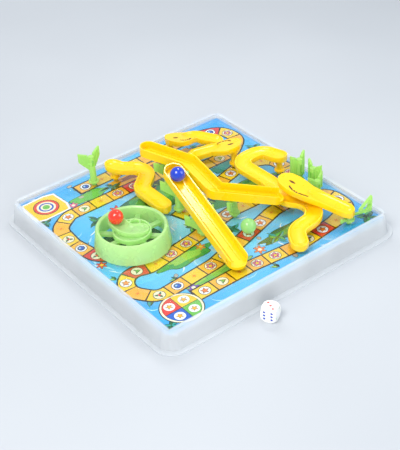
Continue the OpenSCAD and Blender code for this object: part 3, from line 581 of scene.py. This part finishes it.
# Ground: islands, reeds, leaves, stones and waves between the tiles
DRUM = (-88, -3)
OUTLINED, FILLED = 0.5, 1.25
for layer, colour, *shape in ((OUTLINED, "deep", -4, 52, 58, 25, 5, 0.09, 0.6),
                              (FILLED, "green", -8, 54, 46, 17, 6, 0.1, 0.2),
                              (1.5, "grass", -16, 55, 26, 9, 5, 0.12, 1.2),
                              (OUTLINED, "green", 66, -4, 50, 16, 6, 0.1, 0.3),
                              (FILLED, "lime", 70, -3, 34, 8, 5, 0.14, 0.8),
                              (OUTLINED, "lime", -50, -104, 40, 9, 5, 0.12, 1.0),
                              (FILLED, "grass", -48, -104, 28, 5, 7, 0.14, 0.1),
                              (OUTLINED, "deep", 58, -94, 42, 9, 7, 0.12, 0.4),
                              (FILLED, "green", 60, -94, 30, 5, 5, 0.15, 1.4),
                              (OUTLINED, "amber", 20, 108, 70, 9, 8, 0.12, 0.9),
                              (FILLED, "brown", 12, 108, 44, 5, 6, 0.16, 0.2),
                              (OUTLINED, "grass", -72, 108, 26, 8, 5, 0.12, 2.0),
                              (OUTLINED, "green", -60, -58, 34, 11, 6, 0.13, 0.5),
                              (FILLED, "lime", -58, -58, 22, 6, 5, 0.16, 0.5),
                              (OUTLINED, "teal", 92, 52, 30, 9, 5, 0.14, 0.2)):
    (lined if layer == OUTLINED else ink)(layer, colour, blob(*shape))
for k in range(15):
    a = k * 2 * math.pi / 15
    wave(*DRUM, 47 + 3 * (k % 2), a, a + 0.34, "sky", 2.2)
    wave(*DRUM, 54 - 2 * (k % 3), a + 0.2, a + 0.44, "white")
for x, y, r, n, cols in ((-128, -90, 13, 7, ("teal", "deep")), (-30, 44, 15, 9, ("grass", "lime")),
                         (24, 58, 16, 8, ("lime", "grass")), (92, -6, 13, 8, ("deep", "teal")),
                         (36, -96, 14, 8, ("teal", "grass")), (-92, 60, 15, 8, ("deep", "green")),
                         (-40, 104, 12, 7, ("deep", "teal")), (84, 104, 13, 8, ("green", "deep")),
                         (-22, -104, 12, 7, ("deep", "green")),
                         (-136, -136, 13, 5, ("teal", "deep")),
                         (134, -132, 16, 7, ("deep", "green")), (136, 60, 13, 7, ("teal", "deep")),
                         (10, -52, 12, 8, ("teal", "deep")), (96, -52, 13, 8, ("deep", "grass")),
                         (-138, 96, 10, 6, ("deep", "teal")), (-20, -20, 12, 7, ("grass", "deep"))):
    tuft(x, y, r, n, cols)
for x, y, r, c, h in ((-64, 64, 8, "red", "yellow"), (52, 46, 7, "violet", "yellow"),
                      (-84, -104, 7, "violet", "cream"), (8, -100, 7, "orange", "cream"),
                      (70, -54, 7, "pink", "yellow"), (50, 106, 7, "red", "cream"),
                      (-10, 70, 6, "orange", "cream"), (110, -4, 6, "violet", "yellow"),
                      (-134, -10, 6, "red", "yellow"), (40, 0, 6, "red", "yellow"),
                      (-96, 104, 6, "pink", "cream"), (110, 104, 6, "orange", "yellow"),
                      (88, -96, 6, "red", "cream"), (-36, -54, 6, "orange", "yellow"),
                      (128, -86, 6, "violet", "cream"), (-52, 30, 6, "pink", "yellow")):
    flower(x, y, r, c, h)
rnd = random.Random(11)
for k in range(60):
    x, y = rnd.uniform(-138, 138), rnd.uniform(-138, 138)
    a = rnd.uniform(0, 6.28)
    wave(x, y, rnd.uniform(7, 15), a, a + rnd.uniform(1.2, 2.6), ("sky", "white")[k % 3 == 0])
for k in range(30):
    x, y = rnd.uniform(-140, 140), rnd.uniform(-140, 140)
    lined(0.75, "stone", disc(x, y, rnd.uniform(1.8, 3.4), 16, 0.7, rnd.uniform(0, 3)), 0.5)
for k in range(26):
    x, y = rnd.uniform(-140, 140), rnd.uniform(-140, 140)
    tuft(x, y, rnd.uniform(5, 9), 3, ("deep", "grass", "lime"), 1.2, rnd.uniform(0.8, 1.6), 0.34)

# Painted shade: a dark disc printed on the card under the drum, standing in for the shadow seen
# between the drum's spokes
ink(2.25, "night", disc(*DRUM, 36, 60))

# START: a ring with a coloured quarter for each player, and on it a white spot with a star
sx, sy = -112.5, -121.5
START_R, START_GROUND, QUARTER_R, QUARTER_GAP = 23.4, 22.4, 19.5, 0.5
SPOT_AT, SPOT_R = 9, 6.0
ink(2.5, "black", disc(sx, sy, START_R, 60))
ink(3, "cream", disc(sx, sy, START_GROUND, 60))
for k, colour in enumerate(("yellow", "red", "navy", "grass")):
    a = k * math.pi / 2
    tip = (sx + QUARTER_GAP * math.cos(a + math.pi / 4),
           sy + QUARTER_GAP * math.sin(a + math.pi / 4))
    fan = [tip] + [(tip[0] + QUARTER_R * math.cos(a + f * math.pi / 32),
                    tip[1] + QUARTER_R * math.sin(a + f * math.pi / 32)) for f in range(17)]
    ink(3.5, "black", grown(fan, 0.5))
    ink(3.75, colour, fan)
for x in (sx - SPOT_AT, sx + SPOT_AT):
    for y in (sy - SPOT_AT, sy + SPOT_AT):
        ink(4.25, "white", disc(x, y, SPOT_R, 30))
        ink(4.5, "black", star(x, y, 4.2, 5, 0.5, 0.3))
        ink(4.75, "amber", star(x, y, 3.4, 5, 0.5, 0.3))

# HOME: rings round its dimple on a yellow patch
hx, hy = -121.5, 121.5
patch = [(hx + x, hy + y) for x, y in ((-22, -17), (-12, -20), (18, -19), (21, -8), (19, 17),
                                       (8, 20), (-19, 19), (-21, 9))]
ink(2.5, "black", grown(patch, 3.4))
ink(2.75, "white", grown(patch, 2.8))
ink(3, "yellow", patch)
for r, layer, colour in ((15, 3.5, "black"), (14.2, 3.75, "red"), (11, 4, "cream"),
                         (8.6, 4.25, "navy"), (6.4, 4.5, "cream"), (4.2, 4.75, "grass")):
    ink(layer, colour, disc(hx, hy, r, 44))

LIMIT = 145.4  # half the printed side in mm
INK_LOW, INK_STEP, INK_FILM = card_hi.z - 0.00052, 0.000085, 0.00004


def clipped(pts):
    """The shape cut off at the card's edges."""
    for axis in (0, 1):
        for sign in (-1, 1):
            out = []
            for i, p in enumerate(pts):
                q = pts[i - 1]
                a, b = LIMIT - sign * q[axis], LIMIT - sign * p[axis]
                if (a < 0) != (b < 0):
                    f = a / (a - b)
                    out.append((q[0] + (p[0] - q[0]) * f, q[1] + (p[1] - q[1]) * f))
                if b >= 0:
                    out.append(p)
            pts = out
            if len(pts) < 3:
                return []
    return pts


for colour, shapes in ART.items():
    bm = bmesh.new()
    for layer, pts in shapes:
        pts = clipped(pts)
        if len(pts) < 3:
            continue
        z = INK_LOW + INK_STEP * layer
        verts = [bm.verts.new(Vector((x * MM, y * MM + SET_BACK, z))) for x, y in pts]
        try:
            face = bm.faces.new(verts)
        except ValueError:
            continue
        face.normal_update()
        if face.normal.z < 0:
            face.normal_flip()
    bmesh.ops.triangulate(bm, faces=bm.faces[:], ngon_method="EAR_CLIP")
    o = piece("ink_" + colour, mesh_of(bm, "ink_" + colour), [printed(colour, INKS[colour])])
    film = o.modifiers.new("film", "SOLIDIFY")
    film.thickness = INK_FILM
    film.offset = -1

# The card itself: a grey-cored board with a printed face, in place of the plain solid
bm = bmesh.new()
half = (card_hi.x - card_lo.x) / 2
CARD_CORNER, CORNER_STEPS, CHAMFER = 0.010, 8, 0.9997
outline = []
for cx, cy, a0 in ((1, 1, 0), (-1, 1, 90), (-1, -1, 180), (1, -1, 270)):
    for k in range(CORNER_STEPS + 1):
        a = math.radians(a0 + k * 90 / CORNER_STEPS)
        outline.append((cx * (half - CARD_CORNER) + CARD_CORNER * math.cos(a),
                        cy * (half - CARD_CORNER) + CARD_CORNER * math.sin(a)))
rings = []
for z, inset in ((card_lo.z, CHAMFER), (card_lo.z + 0.0001, 1.0), (card_hi.z - 0.0006, 1.0),
                 (card_hi.z - 0.00055, CHAMFER)):
    rings.append([bm.verts.new((x * inset, y * inset + SET_BACK, z)) for x, y in outline])
for a, b in zip(rings, rings[1:]):
    for k in range(len(a)):
        j = (k + 1) % len(a)
        f = bm.faces.new((a[k], a[j], b[j], b[k]))
        f.material_index = 1
bm.faces.new(list(reversed(rings[0]))).material_index = 1
bm.faces.new(rings[-1]).material_index = 0
card = piece("card_board", mesh_of(bm, "card_board"),
             [sea_print(), printed("card_back", "b9b4aa", 0.05)])
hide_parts("game_card")

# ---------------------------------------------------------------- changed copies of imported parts

PLAY = 22.0  # the playing surface above the table, mm
SLIDE_HALF, SLIDE_DEPTH, SLIDE_BEND = 10.0, 7.5, 15.0
# The slides with faces: path in shares of the board, the head's length and extra width, and the
# heights of the slide's edge at its two ends
Slide = namedtuple("Slide", "points head extra high low")
SLIDES = {"snake_upper": Slide([[0.125, 0.34], [0.27, 0.35], [0.36, 0.28]], 34, 8, 30, 8.5),
          "snake_lower": Slide([[0.335, 0.135], [0.26, 0.225], [0.18, 0.29]], 34, 8, 28, 8.5),
          "snake_straight": Slide([[0.28, -0.153], [0.303, -0.267], [0.375, -0.448]],
                                  44, 12, 32, 15)}


def slide_path(points, own=None):
    return round_path(scaled(points), SLIDE_BEND, own)


PATHS = {name: slide_path(slide.points) for name, slide in SLIDES.items()}


def edge_height(name, s):
    """The height of a slide's edge at the length s."""
    slide = SLIDES[name]
    return PLAY + slide.high + (slide.low - slide.high) * s / path_length(PATHS[name])


def samples(path):
    return [(along(path, k)[:2], k) for k in range(int(path_length(path)) + 1)]


def on_path(path, marks, x, y):
    """How far along the path a point lies, and how far to its left. marks are its samples."""
    s = min((math.dist(p, (x, y)), k) for p, k in marks)[1]
    q = along(path, s)
    dx, dy = x - q[0], y - q[1]
    c, w = math.cos(q[2]), math.sin(q[2])
    return s + dx * c + dy * w, dy * c - dx * w


def between(runs, s):
    """The new length for an old one, from pairs of old and new lengths."""
    for (a, fa), (b, fb) in zip(runs, runs[1:]):
        if a <= s <= b:
            return fa + (fb - fa) * (s - a) / (b - a)
    return s


def clamp(v):
    return max(0.0, min(1.0, v))


def stand_in(name, new_name, material, move, edge=EDGE, cuts=()):
    """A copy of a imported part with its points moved, in place of the part. cuts are the places
    and directions where its faces are first split."""
    mesh = nodes[name].data.copy()
    mesh.materials.clear()
    bm = bmesh.new()
    bm.from_mesh(mesh)
    for place, way in cuts:
        bmesh.ops.bisect_plane(bm, geom=bm.verts[:] + bm.edges[:] + bm.faces[:], dist=1e-7,
                               plane_co=place, plane_no=way)
    for v in bm.verts:
        v.co = at(*move(v.co.x / MM, (v.co.y - SET_BACK) / MM, v.co.z / MM))
    bm.to_mesh(mesh)
    bm.free()
    o = piece(new_name, mesh, [material])
    soften(o, edge)
    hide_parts(name)


# The straight slide's head. HEAD_RUNS are pairs of old and new lengths along the slide.
HEAD_RUNS = ((0, 0), (34, 34), (44, 56), (60, 68), (80, 80), (200, 200))
HEAD_END, SLIMMER, SEAT_GAP = 56, 0.1, 0.4
STRAIGHT = PATHS["snake_straight"]
STRAIGHT_MARKS = samples(STRAIGHT)
FALL = (SLIDES["snake_straight"].low - SLIDES["snake_straight"].high) / path_length(STRAIGHT)


def long_head(x, y, z):
    """The straight slide's head runs out longer and slimmer, and the seats below it stay."""
    s, t = on_path(STRAIGHT, STRAIGHT_MARKS, x, y)
    if z < edge_height("snake_straight", s) - SLIDE_DEPTH - SEAT_GAP:
        return x, y, z
    new = between(HEAD_RUNS, s)
    slim = SLIMMER * math.sin(math.pi * clamp(new / HEAD_END))
    return (*side(along(STRAIGHT, new), t * (1 - slim)), z + FALL * (new - s))


stand_in("snake_straight", "slide_straight_long_head", yellow, long_head, 0)

# The long slide's last bends, the second of them moved out
LONG = [[0.407, -0.043], [0.38, 0.07], [0.26, 0.078], [0.275, -0.1], [0.252, -0.22], [0.353, -0.35],
        [0.163, -0.368], [0.113, -0.457]]
ROUNDER = LONG[:5] + [[0.373, -0.358]] + LONG[6:]
OLD_LONG, NEW_LONG = slide_path(LONG), slide_path(ROUNDER, {5: 21.0, 6: 21.0})
OLD_MARKS = samples(OLD_LONG)
OLD_LEN, NEW_LEN = path_length(OLD_LONG), path_length(NEW_LONG)
SAME = path_length(OLD_LONG[:7])
SPLIT_EVERY, WHOLE_END = 2, 9


def rounder_bend(x, y, z):
    """The long slide's last bends get a wider sweep. Up to the bend before, it stays as it is."""
    s, t = on_path(OLD_LONG, OLD_MARKS, x, y)
    if s > SAME:
        s2 = SAME + (s - SAME) * (NEW_LEN - SAME) / (OLD_LEN - SAME)
        x, y = side(along(NEW_LONG, s2), t)
    return x, y, z


splits = []
for k in range(int(SAME), int(OLD_LEN) - WHOLE_END, SPLIT_EVERY):
    x, y, a = along(OLD_LONG, k)
    splits.append((at(x, y), (math.cos(a), math.sin(a), 0)))
stand_in("snake_long", "slide_long_rounder", yellow, rounder_bend, 0, splits)

# The corner stand at FOOT_AT of the straight slide. From its post, its wings run from ROOT past
# NOTCH, where the horns begin, to REACH. HORN_START is the share of the rise at the notch.
FOOT_AT = 0.94
foot = along(STRAIGHT, FOOT_AT * path_length(STRAIGHT))
ROOT, NOTCH, NOTCH_SLACK, REACH = 5.0, 11.5, 0.5, 18.0
WING_LOW, WING_TOP, HORN_TOP, HORN_START = 25.0, 34.3, 45.0, 0.35
BROADER, SWING = 9.0, math.radians(-50.0)  # the outer wing
SHORTER, LOWER = 6.0, 6.0  # the inner wing


def broad_wing(x, y, z):
    """The wing at the board's side swings to the slide's end and runs out broad and high. The
    one at the inner side hides under the slide."""
    dx, dy = x - foot[0], y - foot[1]
    r, way = math.hypot(dx, dy), math.atan2(dy, dx)
    f = clamp((r - NOTCH) / (REACH - NOTCH))
    k = max(0.0, (z - WING_LOW) / (WING_TOP - WING_LOW))
    if dy * math.cos(foot[2]) - dx * math.sin(foot[2]) > 0:
        out = clamp((r - ROOT) / (NOTCH - ROOT))
        way += SWING * out
        up = HORN_START + (1 - HORN_START) * f if r > NOTCH - NOTCH_SLACK else 0.0
        r, rise = r + out + f * BROADER, up * k * (HORN_TOP - WING_TOP)
    else:
        r, rise = r - f * SHORTER, -f * k * LOWER
    return foot[0] + r * math.cos(way), foot[1] + r * math.sin(way), z + rise


stand_in("stand_corner", "stand_corner_broad_wing", lime, broad_wing, 0)

# The stepped stands at the right: the post's radius, the wings' reach, height at the post and
# height at the end, the horns' height, and the new height of the wings' lower edges. Then the
# height below which only pegs lie, the wings' least height over the board, and a slack. All mm.
POST, GROUP_REACH, PANEL, WING_END, HORN, BASE = 4.0, 11.0, 17.0, 11.0, 6.0, 4.0
PEG_TOP, LOWEST_WING, EDGE_SLACK = 21.0, 3.5, 0.3
GROUP = {"stand_right_tall": 30.0, "stand_right_mid": 24.0, "stand_right_low": 18.0}


def down_to_base(name, h):
    """The move that brings the lower edges of a stand's wings down to its foot."""
    pegs = [v.co for v in nodes[name].data.vertices if v.co.z < PEG_TOP * MM]
    post = sum(pegs, Vector()) / len(pegs) / MM
    low = PLAY + max(LOWEST_WING, h - PANEL)
    end_low = max(low, PLAY + h + HORN - WING_END)
    top = PLAY + h

    def move(x, y, z):
        r = math.hypot(x - post.x, y + SET_BACK / MM - post.y)
        edge = low + (end_low - low) * clamp((r - POST) / (GROUP_REACH - POST))
        if edge - EDGE_SLACK < z < top:
            z = top - (top - z) * (h - BASE) / (top - edge)
        return x, y, z

    return move


for name, h in GROUP.items():
    stand_in(name, name + "_broad", lime, down_to_base(name, h))

# ---------------------------------------------------------------- painted shade in the faces' slots

# The eye and the mouth slots get dark brown films, painted shade for the shadow seen through them.
# The eye's and the mouth's place and radius are shares of the head's length, MOUTH_SIDE of its half
# width and MOUTH_END of the mouth's radius. The widths are in mm, as are SHADE_FILM_DROPS, how far
# the film's two sides lie under the head's surface.
EYE_AT, EYE_R, EYE_WIDTH = -0.11, 0.15, 3.6
MOUTH_AT, MOUTH_R, MOUTH_WIDTH, MOUTH_SIDE, MOUTH_END = 0.16, 0.4, 2.6, 0.82, 0.6
SHADE_FILM_DROPS = (0.3, 0.7)


def eye_shape(head):
    """Two arcs that meet in points."""
    r, off = EYE_R * head, (2 * EYE_R * head - EYE_WIDTH) / 2
    reach = math.sqrt(r ** 2 - off ** 2)
    xs = [reach * (k / 6 - 1) for k in range(13)]
    arc = [(EYE_AT * head + x, math.sqrt(max(0.0, r * r - x * x)) - off) for x in xs]
    return arc + [(x, -y) for x, y in arc[-2:0:-1]]


def mouth_shape(head, half_w):
    """A curved band at the head's side."""
    r = MOUTH_R * head
    xs = [MOUTH_END * r * (k / 8 - 1) for k in range(17)]
    arc = [(MOUTH_AT * head + x, -MOUTH_SIDE * half_w + r - math.sqrt(r ** 2 - x * x)) for x in xs]
    return arc + [(x, y + MOUTH_WIDTH) for x, y in reversed(arc)]


bm = bmesh.new()
for name, slide in SLIDES.items():
    x0, y0, a = along(PATHS[name], slide.head / 2)
    c, q = math.cos(a), math.sin(a)
    for shape in (eye_shape(slide.head), mouth_shape(slide.head, SLIDE_HALF + slide.extra / 2)):
        rings = []
        for drop in SHADE_FILM_DROPS:
            ring = []
            for u, v in shape:
                x, y = x0 + u * c - v * q, y0 + u * q + v * c
                z = edge_height(name, slide.head / 2 + u) - drop
                if name == "snake_straight":
                    x, y, z = long_head(x, y, z)
                ring.append(bm.verts.new(at(x, y, z)))
            rings.append(ring)
        n = len(shape)
        for k in range(n):
            j = (k + 1) % n
            bm.faces.new((rings[0][k], rings[1][k], rings[1][j], rings[0][j]))
        bm.faces.new(rings[0])
        bm.faces.new(list(reversed(rings[1])))
bmesh.ops.recalc_face_normals(bm, faces=bm.faces[:])
bmesh.ops.triangulate(bm, faces=bm.faces[:], ngon_method="EAR_CLIP")
# The dark brown films in the eye and mouth slots are painted shade.
piece("face_slots_shade_films", mesh_of(bm, "face_slots_shade_films"), [moulded("painted_slot_shade", "5a2a0a", 0.4)])

# ---------------------------------------------------------------- the die's pips

die_lo, die_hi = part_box("die")
die_mid = (die_lo + die_hi) / 2
DIE_TURN = Matrix.Rotation(math.radians(28), 4, "Z")
PIP_PITCH, PIP_OUT, PIP_R, PIP_TOP_R, PIP_T = 0.004, 0.0076, 0.00136, 0.0012, 0.00014
FOUR = [(-1, -1), (1, -1), (-1, 1), (1, 1)]
# Each side's turns about x and y, its pips, and its colour
DIE_SIDES = [(0, 0, [(-1, -1), (0, 0), (1, 1)], 0), (180, 0, FOUR, 0),
             (90, 0, [(-1, -1), (1, 1)], 2), (-90, 0, FOUR + [(0, 0)], 2),
             (0, 90, [(0, 0)], 1), (0, -90, FOUR + [(0, -1), (0, 1)], 1)]
bm = bmesh.new()
for rx, ry, spots, tone in DIE_SIDES:
    rot = Matrix.Rotation(math.radians(ry), 4, "Y") @ Matrix.Rotation(math.radians(rx), 4, "X")
    for u, v in spots:
        spot = Matrix.Translation((u * PIP_PITCH, v * PIP_PITCH, PIP_OUT))
        made = bmesh.ops.create_cone(bm, cap_ends=True, segments=24, radius1=PIP_R,
                                     radius2=PIP_TOP_R, depth=PIP_T,
                                     matrix=Matrix.Translation(die_mid) @ DIE_TURN @ rot @ spot)
        for f in {f for w in made["verts"] for f in w.link_faces}:
            f.material_index = tone
piece("die_pips", mesh_of(bm, "die_pips"),
      [moulded("pip_red", "d92b2b", 0.3), moulded("pip_blue", "2346b5", 0.3),
       moulded("pip_green", "2f9a48", 0.3)], "cube")

# ---------------------------------------------------------------- floor, light, camera

bm = bmesh.new()
bmesh.ops.create_grid(bm, x_segments=2, y_segments=2, size=4.0)
floor = bpy.data.objects.new("floor", mesh_of(bm, "floor"))
bpy.context.scene.collection.objects.link(floor)
floor.location.z = -0.0002
m, nt, p = new_material("floor_paper")
nt.links.new(ramp(nt, noise(nt, 3, 2), [(0.3, (0.5, 0.53, 0.57)), (0.7, (0.53, 0.56, 0.6))]),
             p.inputs["Base Color"])
p.inputs["Roughness"].default_value = 0.7
floor.data.materials.append(m)

world = bpy.data.worlds.new("studio")
bpy.context.scene.world = world
world.use_nodes = True
sky = world.node_tree.nodes["Background"]
sky.inputs["Color"].default_value = (0.9, 0.95, 1.0, 1)
sky.inputs["Strength"].default_value = 0.55
LOOK_AT = Vector((0, 0.01, 0.02))


def area(name, loc, size, power, colour=(1, 1, 1)):
    """A round light at a place, turned to the board."""
    data = bpy.data.lights.new(name, "AREA")
    data.shape = "DISK"
    data.size = size
    data.energy = power
    data.color = colour
    o = bpy.data.objects.new(name, data)
    bpy.context.scene.collection.objects.link(o)
    o.location = loc
    o.rotation_euler = (LOOK_AT - Vector(loc)).to_track_quat("-Z", "Y").to_euler()
    return o


area("key", (-0.75, -0.2, 1.25), 0.7, 13, (1, 0.98, 0.95))
area("fill", (0.9, -0.9, 0.8), 1.0, 7, (0.95, 0.98, 1))
area("front", (-0.8, -1.2, 0.4), 1.0, 10, (1, 0.99, 0.98)).visible_glossy = False
area("back", (0.3, 1.1, 0.9), 0.8, 5).visible_glossy = False
area("shine", (0.2, 0.16, 0.5), 0.12, 0.65)

# The camera as fitted to the photograph: its angles, focal length in pixels of the photograph and
# distance in metres from the point it turned about, and that point. The photograph's point MIDDLE
# comes to the frame's middle, ZOOM times as large.
AZIMUTH, ELEVATION, ROLL = (math.radians(v) for v in (-35.607, 32.006, -3.638))
FOCAL, DISTANCE, PIVOT = 1261.19, 1.3377, at(63.5, 94.5, 25)
ZOOM, MIDDLE = 0.885, (212.0, 306.0)
FRAME_W, FRAME_H, SENSOR = 400, 450, 36.0
back = Vector((math.sin(AZIMUTH) * math.cos(ELEVATION), -math.cos(AZIMUTH) * math.cos(ELEVATION),
               math.sin(ELEVATION)))
right = Vector((math.cos(AZIMUTH), math.sin(AZIMUTH), 0))
up = right.cross(-back)
right, up = (math.cos(ROLL) * right + math.sin(ROLL) * up,
             -math.sin(ROLL) * right + math.cos(ROLL) * up)
eye = PIVOT + back * DISTANCE
ahead = (-back * FOCAL + right * (MIDDLE[0] - FRAME_W / 2)
         - up * (MIDDLE[1] - FRAME_H / 2)).normalized()
right = ahead.cross(up).normalized()
up = right.cross(ahead)
data = bpy.data.cameras.new("camera")
data.sensor_fit = "HORIZONTAL"
data.sensor_width = SENSOR
data.lens = FOCAL * ZOOM * SENSOR / FRAME_W
camera = bpy.data.objects.new("camera", data)
bpy.context.scene.collection.objects.link(camera)
camera.matrix_world = Matrix(((right.x, up.x, -ahead.x, eye.x), (right.y, up.y, -ahead.y, eye.y),
                              (right.z, up.z, -ahead.z, eye.z), (0, 0, 0, 1)))
bpy.context.scene.camera = camera
bpy.context.scene.view_settings.view_transform = "Standard"
